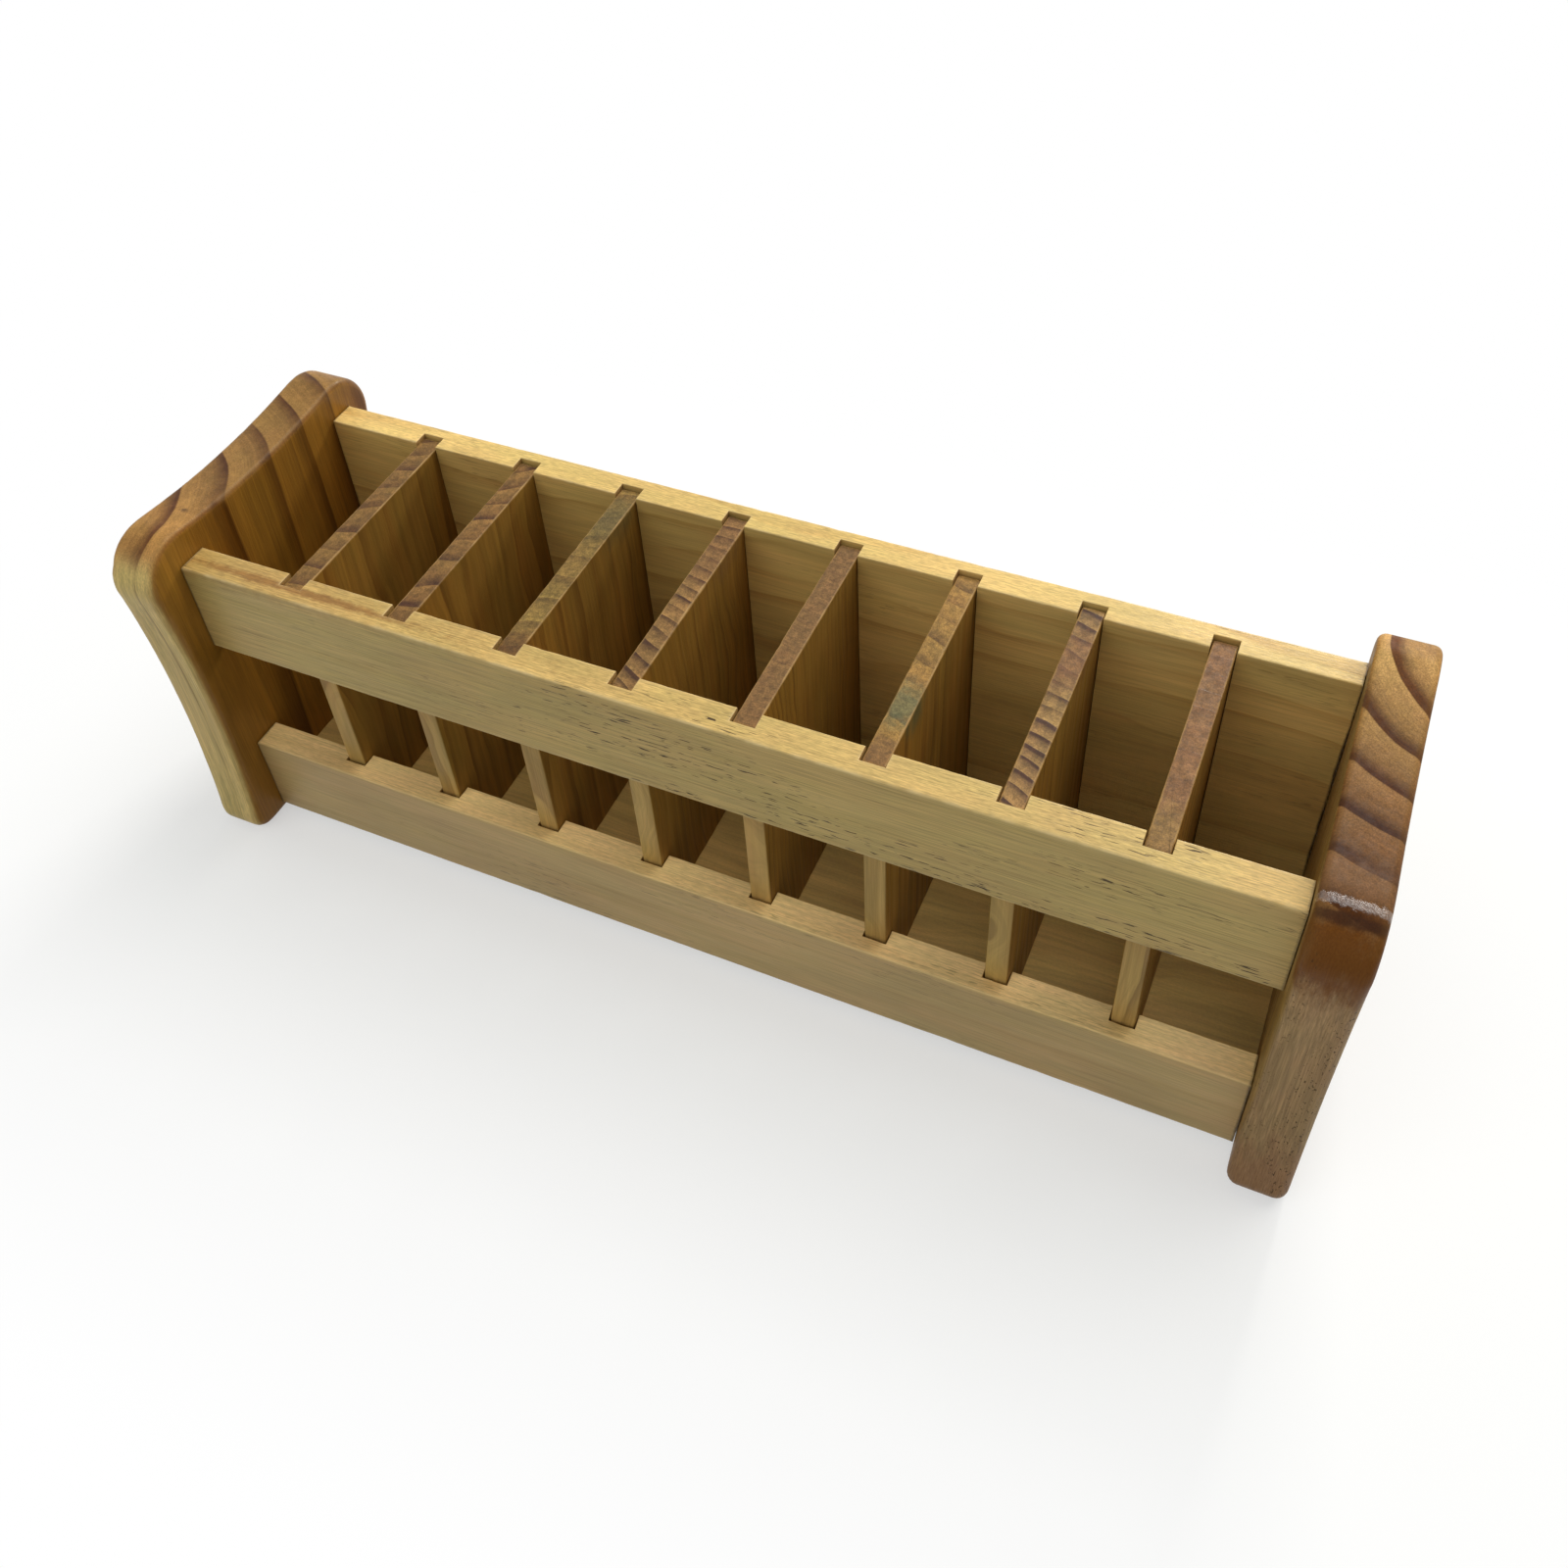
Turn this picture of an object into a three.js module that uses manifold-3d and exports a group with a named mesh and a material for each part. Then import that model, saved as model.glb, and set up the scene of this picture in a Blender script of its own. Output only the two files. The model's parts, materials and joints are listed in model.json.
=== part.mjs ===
// A wooden desk rack with nine bays: two shaped end panels, an upper and a lower front rail
// with an open window between them, a full back panel, a base board, and eight dividers
// that slide down open-topped grooves and rest on the base board.
// Millimetres, +Z up. X runs along the rack, the front faces -Y, the feet stand on Z = 0.
import * as THREE from 'three';
import { mergeVertices } from 'three/addons/utils/BufferGeometryUtils.js';
import Module from 'manifold-3d';

// Length, between and across the end panels
const INNER_LENGTH = 360;
const END_THICKNESS = 18;
const BAY_COUNT = 9;

// Depth, from the front edge of an end panel to its back edge
const FRONT_OVERHANG = 13.5;
const RAIL_THICKNESS = 11;
const INNER_DEPTH = 73;
const BACK_THICKNESS = 10;
const BACK_OVERHANG = 10.5;

// Height, from the feet up
const FOOT_HEIGHT = 4;
const LOWER_RAIL_HEIGHT = 34.5;
const WINDOW_HEIGHT = 50.5;
const UPPER_RAIL_HEIGHT = 36;
const END_RISE = 12;

// The end panels' outline and rounded edges
const TOP_CORNER_RADIUS = 16;
const FOOT_CORNER_RADIUS = 7;
const SIDE_HOLLOW = 3.2;
const TOP_HOLLOW = 3;
const END_EDGE_RADIUS = 2.5;

// The rails' eased front edges and the back panel's eased outer edges
const RAIL_EDGE_RADIUS = 1.6;

// The base board, let into grooves on all four sides
const BASE_THICKNESS = 6;
const BASE_LIP = 4;
const BASE_GROOVE_DEPTH = 3.5;

// The dividers and their grooves
const DIVIDER_THICKNESS = 7.4;
const DIVIDER_EDGE_RADIUS = 0.7;
const DIVIDER_SINK = 1.4;
const GROOVE_DEPTH = 5.5;
const GROOVE_SIDE_CLEARANCE = 0.3;
const GROOVE_END_CLEARANCE = 0.9;

// The dowels that hold the rails and the back panel to the end panels
const DOWEL_DIAMETER = 6;
const DOWEL_LENGTH = 25;
const DOWEL_IN_END = 12;
const DOWEL_CHAMFER = 0.8;
const RAIL_DOWELS = 2;
const BACK_DOWELS = 3;

// Clearances between fixed pieces
const JOINT_GAP = 0.3;
const HOLE_END_CLEARANCE = 0.6;

// How far a cutter runs past the face that it cuts
const OVERRUN = 1;

// Steps in the curves
const CURVE_STEPS = 7;
const CORNER_STEPS = 3;
const EDGE_STEPS = 4;
const DOWEL_SIDES = 20;

// Heights and depths that follow from the sizes above
const lowerRailTop = FOOT_HEIGHT + LOWER_RAIL_HEIGHT;
const upperRailBottom = lowerRailTop + WINDOW_HEIGHT;
const railTop = upperRailBottom + UPPER_RAIL_HEIGHT;
const endTop = railTop + END_RISE;
const baseBottom = FOOT_HEIGHT + BASE_LIP;
const baseTop = baseBottom + BASE_THICKNESS;

const endDepth = FRONT_OVERHANG + RAIL_THICKNESS + INNER_DEPTH + BACK_THICKNESS + BACK_OVERHANG;
const endFront = -endDepth / 2;
const railFront = endFront + FRONT_OVERHANG;
const railBack = railFront + RAIL_THICKNESS;
const backFront = railBack + INNER_DEPTH;
const backBack = backFront + BACK_THICKNESS;

const endInner = INNER_LENGTH / 2;
const bayPitch = INNER_LENGTH / BAY_COUNT;
const boardEnd = endInner - JOINT_GAP;

const wasm = await Module();
wasm.setup();

// Profiles drawn in (Y, Z) are stood up so that their extrusion runs along X
const profileAlongX = new THREE.Matrix4().makeBasis(
  new THREE.Vector3(0, 1, 0),
  new THREE.Vector3(0, 0, 1),
  new THREE.Vector3(1, 0, 0),
);

function toSolid(geometry) {
  geometry.deleteAttribute('normal');
  geometry.deleteAttribute('uv');
  const welded = mergeVertices(geometry, 1e-4);
  return new wasm.Manifold(new wasm.Mesh({
    numProp: 3,
    vertProperties: new Float32Array(welded.attributes.position.array),
    triVerts: new Uint32Array(welded.index.array),
  }));
}

function toGeometry(solid) {
  const mesh = solid.getMesh();
  const geometry = new THREE.BufferGeometry();
  geometry.setAttribute('position', new THREE.BufferAttribute(mesh.vertProperties, 3));
  geometry.setIndex(new THREE.BufferAttribute(mesh.triVerts, 1));
  const faceted = geometry.toNonIndexed();
  faceted.computeVertexNormals();
  return faceted;
}

function boxBetween(low, high) {
  const size = high.map((value, axis) => value - low[axis]);
  const centre = high.map((value, axis) => (value + low[axis]) / 2);
  const geometry = new THREE.BoxGeometry(...size);
  geometry.translate(...centre);
  return toSolid(geometry);
}

function cutAll(solid, cutters) {
  return cutters.reduce((rest, cutter) => rest.subtract(cutter), solid);
}

// The outline of an end panel: hollow sides and top, round corners, a flat foot
function endOutline() {
  const front = endFront;
  const back = endFront + endDepth;
  const top = TOP_CORNER_RADIUS;
  const foot = FOOT_CORNER_RADIUS;
  const sideTilt = Math.asin((4 * SIDE_HOLLOW) / (endTop - top - foot));
  const topTilt = Math.asin((4 * TOP_HOLLOW) / (endDepth - 2 * top));
  const quarter = Math.PI / 2;

  const corners = [
    { y: back - foot, z: foot, radius: foot, from: -quarter, to: sideTilt },
    { y: back - top, z: endTop - top, radius: top, from: -sideTilt, to: quarter + topTilt },
    { y: front + top, z: endTop - top, radius: top, from: quarter - topTilt, to: Math.PI + sideTilt },
    { y: front + foot, z: foot, radius: foot, from: Math.PI - sideTilt, to: Math.PI + quarter },
  ];
  const onCorner = (corner, angle) => new THREE.Vector2(
    corner.y + corner.radius * Math.cos(angle),
    corner.z + corner.radius * Math.sin(angle),
  );
  const heading = (angle) => new THREE.Vector2(-Math.sin(angle), Math.cos(angle));

  const outline = new THREE.Shape();
  corners.forEach((corner, index) => {
    outline.absarc(corner.y, corner.z, corner.radius, corner.from, corner.to, false);
    const next = corners[index + 1];
    if (!next) return;
    const start = onCorner(corner, corner.to);
    const end = onCorner(next, next.from);
    const reach = start.distanceTo(end) / 3;
    const leave = start.clone().addScaledVector(heading(corner.to), reach);
    const arrive = end.clone().addScaledVector(heading(next.from), -reach);
    outline.bezierCurveTo(leave.x, leave.y, arrive.x, arrive.y, end.x, end.y);
  });
  outline.closePath();
  return outline;
}

// A rectangle whose corners are rounded by the four radii, counter-clockwise from low-low
function roundedRectangle(low, high, radii) {
  const corners = [
    [low[0] + radii[0], low[1] + radii[0]],
    [high[0] - radii[1], low[1] + radii[1]],
    [high[0] - radii[2], high[1] - radii[2]],
    [low[0] + radii[3], high[1] - radii[3]],
  ];
  const points = corners.flatMap(([u, v], index) => {
    const radius = radii[index];
    const steps = radius > 0 ? CORNER_STEPS : 0;
    return Array.from({ length: steps + 1 }, (_, step) => {
      const angle = (index + 2 + (steps ? step / steps : 0)) * Math.PI / 2;
      return new THREE.Vector2(u + radius * Math.cos(angle), v + radius * Math.sin(angle));
    });
  });
  return new THREE.Shape(points);
}

// An end panel with its inner face at X = inner, its outer face one thickness beyond
function endPanelBlank(inner, side) {
  const geometry = new THREE.ExtrudeGeometry(endOutline(), {
    depth: END_THICKNESS - 2 * END_EDGE_RADIUS,
    curveSegments: CURVE_STEPS,
    bevelEnabled: true,
    bevelThickness: END_EDGE_RADIUS,
    bevelSize: END_EDGE_RADIUS,
    bevelOffset: -END_EDGE_RADIUS,
    bevelSegments: EDGE_STEPS,
  });
  geometry.applyMatrix4(profileAlongX);
  geometry.translate(END_EDGE_RADIUS + (side > 0 ? inner : -inner - END_THICKNESS), 0, 0);
  return toSolid(geometry);
}

// A board between the end panels, its profile given in (Y, Z)
function longBoard(outline) {
  const geometry = new THREE.ExtrudeGeometry(outline, {
    depth: 2 * boardEnd,
    bevelEnabled: false,
  });
  geometry.applyMatrix4(profileAlongX);
  geometry.translate(-boardEnd, 0, 0);
  return toSolid(geometry);
}

// The places of the dividers, counted from the left
const dividerPlaces = Array.from(
  { length: BAY_COUNT - 1 },
  (_, index) => -endInner + (index + 1) * bayPitch,
);

// The grooves run right across a board, open at its top and bottom edges
function dividerGrooves(yLow, yHigh) {
  const half = DIVIDER_THICKNESS / 2 + GROOVE_SIDE_CLEARANCE;
  return dividerPlaces.map((x) => boxBetween(
    [x - half, yLow, FOOT_HEIGHT - OVERRUN],
    [x + half, yHigh, railTop + OVERRUN],
  ));
}

// Each board's row of dowels, spread evenly over its clear height, the same at both ends
const railMiddle = (railFront + railBack) / 2;
const backMiddle = (backFront + backBack) / 2;
const dowelRows = {
  upper: { y: railMiddle, heights: spread(upperRailBottom, railTop, RAIL_DOWELS) },
  lower: { y: railMiddle, heights: spread(baseTop, lowerRailTop, RAIL_DOWELS) },
  back: { y: backMiddle, heights: spread(baseTop, railTop, BACK_DOWELS) },
};

function spread(low, high, count) {
  return Array.from({ length: count }, (_, index) => low + (high - low) * (index + 0.5) / count);
}

// A pin along X whose two ends are chamfered, or a plain one where the chamfer is 0
function pinAlongX(xLow, xHigh, y, z, radius, chamfer) {
  const half = (xHigh - xLow) / 2;
  const side = [
    new THREE.Vector2(0, -half),
    new THREE.Vector2(radius - chamfer, -half),
    new THREE.Vector2(radius, -half + chamfer),
    new THREE.Vector2(radius, half - chamfer),
    new THREE.Vector2(radius - chamfer, half),
    new THREE.Vector2(0, half),
  ];
  const points = chamfer > 0 ? side : [side[0], side[2], side[3], side[5]];
  const geometry = new THREE.LatheGeometry(points, DOWEL_SIDES);
  geometry.rotateZ(-Math.PI / 2);
  geometry.translate((xLow + xHigh) / 2, y, z);
  return toSolid(geometry);
}

function dowelSpan(side) {
  const outer = side * (endInner + DOWEL_IN_END);
  const inner = side * (endInner + DOWEL_IN_END - DOWEL_LENGTH);
  return [Math.min(outer, inner), Math.max(outer, inner)];
}

function dowelHoles(board) {
  return [-1, 1].flatMap((side) => {
    const [low, high] = dowelSpan(side);
    return dowelRows[board].heights.map((z) => pinAlongX(
      low - HOLE_END_CLEARANCE,
      high + HOLE_END_CLEARANCE,
      dowelRows[board].y,
      z,
      DOWEL_DIAMETER / 2 + JOINT_GAP,
      0,
    ));
  });
}

// The base board and the groove that is cut for it in the four boards around it
const baseReach = BASE_GROOVE_DEPTH - JOINT_GAP;
const baseBoard = boxBetween(
  [-endInner - baseReach, railBack - baseReach, baseBottom],
  [endInner + baseReach, backFront + baseReach, baseTop],
);
const baseGroove = boxBetween(
  [-endInner - BASE_GROOVE_DEPTH, railBack - BASE_GROOVE_DEPTH, baseBottom],
  [endInner + BASE_GROOVE_DEPTH, backFront + BASE_GROOVE_DEPTH, baseTop + JOINT_GAP],
);

const frontGrooves = dividerGrooves(railBack - GROOVE_DEPTH, railBack + OVERRUN);
const backGrooves = dividerGrooves(backFront - OVERRUN, backFront + GROOVE_DEPTH);

function frontRail(bottom, top, board) {
  const ease = RAIL_EDGE_RADIUS;
  const outline = roundedRectangle([railFront, bottom], [railBack, top], [ease, 0, 0, ease]);
  return cutAll(longBoard(outline), [...frontGrooves, ...dowelHoles(board), baseGroove]);
}

function backPanel() {
  const ease = RAIL_EDGE_RADIUS;
  const outline = roundedRectangle([backFront, FOOT_HEIGHT], [backBack, railTop], [0, ease, ease, 0]);
  return cutAll(longBoard(outline), [...backGrooves, ...dowelHoles('back'), baseGroove]);
}

// A divider stands on the base board, its top a little below the rails' top edges
function divider(x) {
  const half = DIVIDER_THICKNESS / 2;
  const reach = GROOVE_DEPTH - GROOVE_END_CLEARANCE;
  const outline = roundedRectangle(
    [-half, railBack - reach],
    [half, backFront + reach],
    Array(4).fill(DIVIDER_EDGE_RADIUS),
  );
  const geometry = new THREE.ExtrudeGeometry(outline, {
    depth: railTop - DIVIDER_SINK - baseTop,
    bevelEnabled: false,
  });
  geometry.translate(x, 0, baseTop);
  return toSolid(geometry);
}

// Varnished pine, a shade for each kind of piece
const woods = {
  end: { color: 0xb58b50, roughness: 0.38 },
  rail: { color: 0xc4a468, roughness: 0.45 },
  back: { color: 0x9a7a45, roughness: 0.5 },
  base: { color: 0x97794e, roughness: 0.55 },
  divider: { color: 0x84643a, roughness: 0.5 },
  dowel: { color: 0xd0b27c, roughness: 0.7 },
};

const rack = new THREE.Group();
rack.name = 'desk_rack';

function addPiece(name, wood, solid) {
  const material = new THREE.MeshStandardMaterial({ ...woods[wood], metalness: 0 });
  material.name = wood;
  const mesh = new THREE.Mesh(toGeometry(solid), material);
  mesh.name = name;
  rack.add(mesh);
}

[['left', -1], ['right', 1]].forEach(([name, side]) => {
  const blank = endPanelBlank(endInner, side);
  const holes = Object.keys(dowelRows).flatMap(dowelHoles);
  addPiece(`${name}_end_panel`, 'end', cutAll(blank, [...holes, baseGroove]));
});

addPiece('front_upper_rail', 'rail', frontRail(upperRailBottom, railTop, 'upper'));
addPiece('front_lower_rail', 'rail', frontRail(FOOT_HEIGHT, lowerRailTop, 'lower'));
addPiece('back_panel', 'back', backPanel());
addPiece('base_board', 'base', baseBoard);

dividerPlaces.forEach((x, index) => addPiece(`divider_${index + 1}`, 'divider', divider(x)));

[['left', -1], ['right', 1]].forEach(([name, side]) => {
  const [low, high] = dowelSpan(side);
  Object.entries(dowelRows).forEach(([board, row]) => row.heights.forEach((z, index) => {
    const pin = pinAlongX(low, high, row.y, z, DOWEL_DIAMETER / 2, DOWEL_CHAMFER);
    addPiece(`${name}_${board}_dowel_${index + 1}`, 'dowel', pin);
  }));
});

export default rack;
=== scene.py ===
# Looks for the wooden desk rack: varnished pine boards on a pale floor.
import json
import math

import bmesh
import bpy
from mathutils import Matrix, Quaternion, Vector, noise

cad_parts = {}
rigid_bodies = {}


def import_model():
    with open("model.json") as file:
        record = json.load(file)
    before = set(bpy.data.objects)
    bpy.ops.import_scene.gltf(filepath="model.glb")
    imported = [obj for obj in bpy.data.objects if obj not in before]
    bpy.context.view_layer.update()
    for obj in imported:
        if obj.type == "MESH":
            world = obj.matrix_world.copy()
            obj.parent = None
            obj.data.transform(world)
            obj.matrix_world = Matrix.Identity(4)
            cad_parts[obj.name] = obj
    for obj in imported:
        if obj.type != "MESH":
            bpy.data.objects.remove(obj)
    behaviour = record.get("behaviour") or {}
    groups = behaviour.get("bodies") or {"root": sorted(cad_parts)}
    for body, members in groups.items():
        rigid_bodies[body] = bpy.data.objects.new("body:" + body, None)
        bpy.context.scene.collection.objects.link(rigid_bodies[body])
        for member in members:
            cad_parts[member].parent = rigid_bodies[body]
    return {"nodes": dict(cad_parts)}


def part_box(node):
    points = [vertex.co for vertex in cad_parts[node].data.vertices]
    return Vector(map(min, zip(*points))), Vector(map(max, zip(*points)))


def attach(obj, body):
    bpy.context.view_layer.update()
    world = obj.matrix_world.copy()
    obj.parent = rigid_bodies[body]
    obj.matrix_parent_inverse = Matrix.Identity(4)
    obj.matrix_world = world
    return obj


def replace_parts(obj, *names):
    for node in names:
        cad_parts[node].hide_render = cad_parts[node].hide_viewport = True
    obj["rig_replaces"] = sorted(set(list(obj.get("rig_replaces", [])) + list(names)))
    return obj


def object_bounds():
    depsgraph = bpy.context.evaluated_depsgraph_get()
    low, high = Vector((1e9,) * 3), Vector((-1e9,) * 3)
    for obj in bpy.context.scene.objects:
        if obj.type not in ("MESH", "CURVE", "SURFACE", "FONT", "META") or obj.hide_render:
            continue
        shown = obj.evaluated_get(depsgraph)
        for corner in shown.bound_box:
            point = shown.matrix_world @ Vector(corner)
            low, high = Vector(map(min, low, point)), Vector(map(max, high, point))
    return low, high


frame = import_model()
bounds_at_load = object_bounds()

MM = 0.001

# Camera at the photograph's angle, shifted because the photograph's centre of perspective lies
# above the middle of its picture
CAMERA_LENS = 35.09
CAMERA_SHIFT = -0.10
CAMERA_PLACE = Vector((0.1636, -0.2958, 0.4513))
CAMERA_HEADING = Vector((-0.3190, 0.6371, -0.7017))
CAMERA_ROLL = math.radians(-3.845)
camera_data = bpy.data.cameras.new("camera")
camera = bpy.data.objects.new("camera", camera_data)
bpy.context.scene.collection.objects.link(camera)
camera_data.lens = CAMERA_LENS
camera_data.shift_y = CAMERA_SHIFT
camera.location = CAMERA_PLACE
aim = CAMERA_HEADING.to_track_quat("-Z", "Y") @ Quaternion((0, 0, 1), CAMERA_ROLL)
camera.rotation_euler = aim.to_euler()
bpy.context.scene.camera = camera
bpy.context.scene.view_settings.view_transform = "Standard"


# Boards: an outline in one plane, drawn out along the third axis, with eased edges
ARC_STEPS = 5
SHARP_TURN = math.radians(30)
SMOOTH_BELOW = math.radians(38)
FACE_AREA_WEIGHT = 100

# Along an arris its radius ripples slowly and fast, and nicks cut deeper
SLOW_RIPPLE = 23 * MM
FAST_RIPPLE = 2.3 * MM
NICK_RIPPLE = 5 * MM
RIPPLE_SHARE = 0.6
NICK_LEVEL = 0.42
NICK_DEPTH = 4
LEAST_ARRIS = 0.35
# Wear and painted highlight at the edges of an arris; they are full halfway round it
LEAST_WEAR_AND_HIGHLIGHT = 0.3

# Seeds that keep the ripples of boards, ends and kinds apart
SEED_STRIDE = 7.31
NEXT_BOARD = 20
SECOND_END = 11
FAST_SEED = 40
NICK_SEED = 80


def upright(a, b, c):
    """An outline in X and Y, drawn out along Z."""
    return (a, b, c)


def sideways(a, b, c):
    """An outline in Y and Z, drawn out along X."""
    return (c, a, b)


def ripple(travel, period, seed):
    """Smooth repeatable noise along an edge, from about -1 to 1."""
    return noise.noise(Vector((travel / period, SEED_STRIDE * seed, 0.5)))


def eased(ease, travel, seed):
    """An arris radius that varies along its edge, with a few deeper nicks."""
    radius, ragged = ease
    slow = ripple(travel, SLOW_RIPPLE, seed)
    fast = ripple(travel, FAST_RIPPLE, seed + FAST_SEED)
    nick = max(0.0, ripple(travel, NICK_RIPPLE, seed + NICK_SEED) - NICK_LEVEL) * NICK_DEPTH
    change = RIPPLE_SHARE * slow + RIPPLE_SHARE * fast + nick
    return radius * max(LEAST_ARRIS, 1 + ragged * change)


def split_sides(corners, step):
    """Splits an outline's sides: each point with the kind of side before and after it."""
    points = []
    for index, (here, kind) in enumerate(corners):
        there = corners[(index + 1) % len(corners)][0]
        before = corners[index - 1][1]
        count = max(1, round((there - here).length / step))
        for part in range(count):
            points.append((here.lerp(there, part / count), kind if part else before, kind))
    return points


def inward(before, after, near, far):
    """The move that takes a point inward from the sides before and after it by two distances."""
    n1, n2 = (Vector((-side.y, side.x)).normalized() for side in (before, after))
    turn = n1.x * n2.y - n1.y * n2.x
    if abs(turn) < math.sin(SHARP_TURN) and n1.dot(n2) > 0:
        middle = (n1 + n2).normalized()
        return middle * ((near + far) / 2) / middle.dot(n1)
    return Vector((near * n2.y - far * n1.y, n1.x * far - n2.x * near)) / turn


def board(name, corners, place, low, high, eases, margin, step, seed):
    """A closed board. Each kind of side has its arris radius and raggedness in eases, margin is the
    strip of flat beside an arris, and step the spacing of the points along the outline."""
    points = split_sides(corners, step)
    count = len(points)
    spots = [point for point, _, _ in points]
    travel, lengths = 0.0, []
    for index, spot in enumerate(spots):
        lengths.append(travel)
        travel += (spots[(index + 1) % count] - spot).length

    def ring(end, sign, shift):
        """The loops of points at one end: the flat's margin, the arris, the margin on the sides."""
        rows = []
        for index, (spot, kind_before, kind_after) in enumerate(points):
            before = spot - spots[index - 1]
            after = spots[(index + 1) % count] - spot
            near = eased(eases[kind_before], lengths[index], seed + shift)
            far = eased(eases[kind_after], lengths[index], seed + shift)
            inset = inward(before, after, near, far)
            flat = inward(before, after, margin, margin)
            rows.append((spot, inset, flat, (near + far) / 2))
        loops = [[(s + i + f, end, 0.0) for s, i, f, _ in rows]]
        for part in range(ARC_STEPS + 1):
            angle = math.pi / 2 * part / ARC_STEPS
            # Wear and painted highlight, greatest halfway round the arris
            wear = LEAST_WEAR_AND_HIGHLIGHT + (1 - LEAST_WEAR_AND_HIGHLIGHT) * math.sin(2 * angle)
            loops.append([
                (s + i * (1 - math.sin(angle)), end + sign * r * (1 - math.cos(angle)), wear)
                for s, i, _, r in rows
            ])
        loops.append([(s, end + sign * (r + margin), 0.0) for s, _, _, r in rows])
        return loops

    loops = ring(low, 1, 0) + ring(high, -1, SECOND_END)[::-1]
    verts, wears_and_highlights = [], []
    for loop in loops:
        for spot, along, wear in loop:
            verts.append(place(spot.x, spot.y, along))
            wears_and_highlights.append(wear)
    last = (len(loops) - 1) * count
    faces = [tuple(reversed(range(count))), tuple(range(last, last + count))]
    for level in range(len(loops) - 1):
        base = level * count
        for index in range(count):
            after = (index + 1) % count
            faces.append((base + index, base + after, base + count + after, base + count + index))
    mesh = bpy.data.meshes.new(name)
    mesh.from_pydata(verts, [], faces)
    mesh.attributes.new("wear", "FLOAT", "POINT").data.foreach_set("value", wears_and_highlights)
    piece = bpy.data.objects.new(name, mesh)
    bpy.context.scene.collection.objects.link(piece)
    return piece


def hollow_out(piece, cutter):
    """Cuts the joinery out of a board."""
    tool = piece.modifiers.new("joinery", "BOOLEAN")
    tool.operation = "DIFFERENCE"
    tool.solver = "EXACT"
    tool.object = cutter
    graph = bpy.context.evaluated_depsgraph_get()
    piece.data = bpy.data.meshes.new_from_object(piece.evaluated_get(graph))
    piece.modifiers.clear()


def shade(piece):
    """Smooth shading that keeps the flats flat."""
    for face in piece.data.polygons:
        face.use_smooth = True
    piece.data.set_sharp_from_angle(angle=SMOOTH_BELOW)
    normals = piece.modifiers.new("normals", "WEIGHTED_NORMAL")
    normals.keep_sharp = True
    normals.weight = FACE_AREA_WEIGHT


def stand_for(piece, node, body):
    """Makes a finished board take its CAD node's place."""
    shade(piece)
    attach(piece, body)
    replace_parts(piece, node)


# Cutters for the dowel holes and for the base board's groove
HOLE_CLEARANCE = 0.3 * MM
HOLE_END_CLEARANCE = 0.6 * MM
HOLE_SIDES = 32
dowel_names = [name for name in frame["nodes"] if "_dowel_" in name]


def joinery(name, boxes, pins):
    """One mesh that holds every cutter for a board."""
    tool = bmesh.new()
    for low, high in boxes:
        size = high - low
        place = Matrix.Translation((low + high) / 2) @ Matrix.Diagonal((*size, 1))
        bmesh.ops.create_cube(tool, size=1.0, matrix=place)
    for low, high in pins:
        length = high.x - low.x + 2 * HOLE_END_CLEARANCE
        radius = (high.y - low.y) / 2 + HOLE_CLEARANCE
        place = Matrix.Translation((low + high) / 2) @ Matrix.Rotation(math.pi / 2, 4, "Y")
        bmesh.ops.create_cone(
            tool, cap_ends=True, segments=HOLE_SIDES,
            radius1=radius, radius2=radius, depth=length, matrix=place,
        )
    mesh = bpy.data.meshes.new(name)
    tool.to_mesh(mesh)
    tool.free()
    cutter = bpy.data.objects.new(name, mesh)
    bpy.context.scene.collection.objects.link(cutter)
    return cutter


def cut_joinery(piece, name, pins, with_base):
    """Cuts the holes for a board's dowels and, where it holds the base board, the groove for that."""
    boxes = []
    if with_base:
        low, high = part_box("base_board")
        gap = Vector((HOLE_CLEARANCE, HOLE_CLEARANCE, 0))
        boxes.append((low - gap, high + gap + Vector((0, 0, HOLE_CLEARANCE))))
    cutter = joinery(name + "_cutter", boxes, [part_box(pin) for pin in pins])
    hollow_out(piece, cutter)
    bpy.data.objects.remove(cutter)


# The end panels' outline in Y and Z
END_TOP_RADIUS = 16 * MM
END_FOOT_RADIUS = 7 * MM
END_SIDE_HOLLOW = 3.2 * MM
END_TOP_HOLLOW = 3 * MM
CORNER_POINTS = 22
CURVE_POINTS = 46
END_MARGIN = 2.2 * MM
END_STEP = 3 * MM
END_SEED = 100


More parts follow.
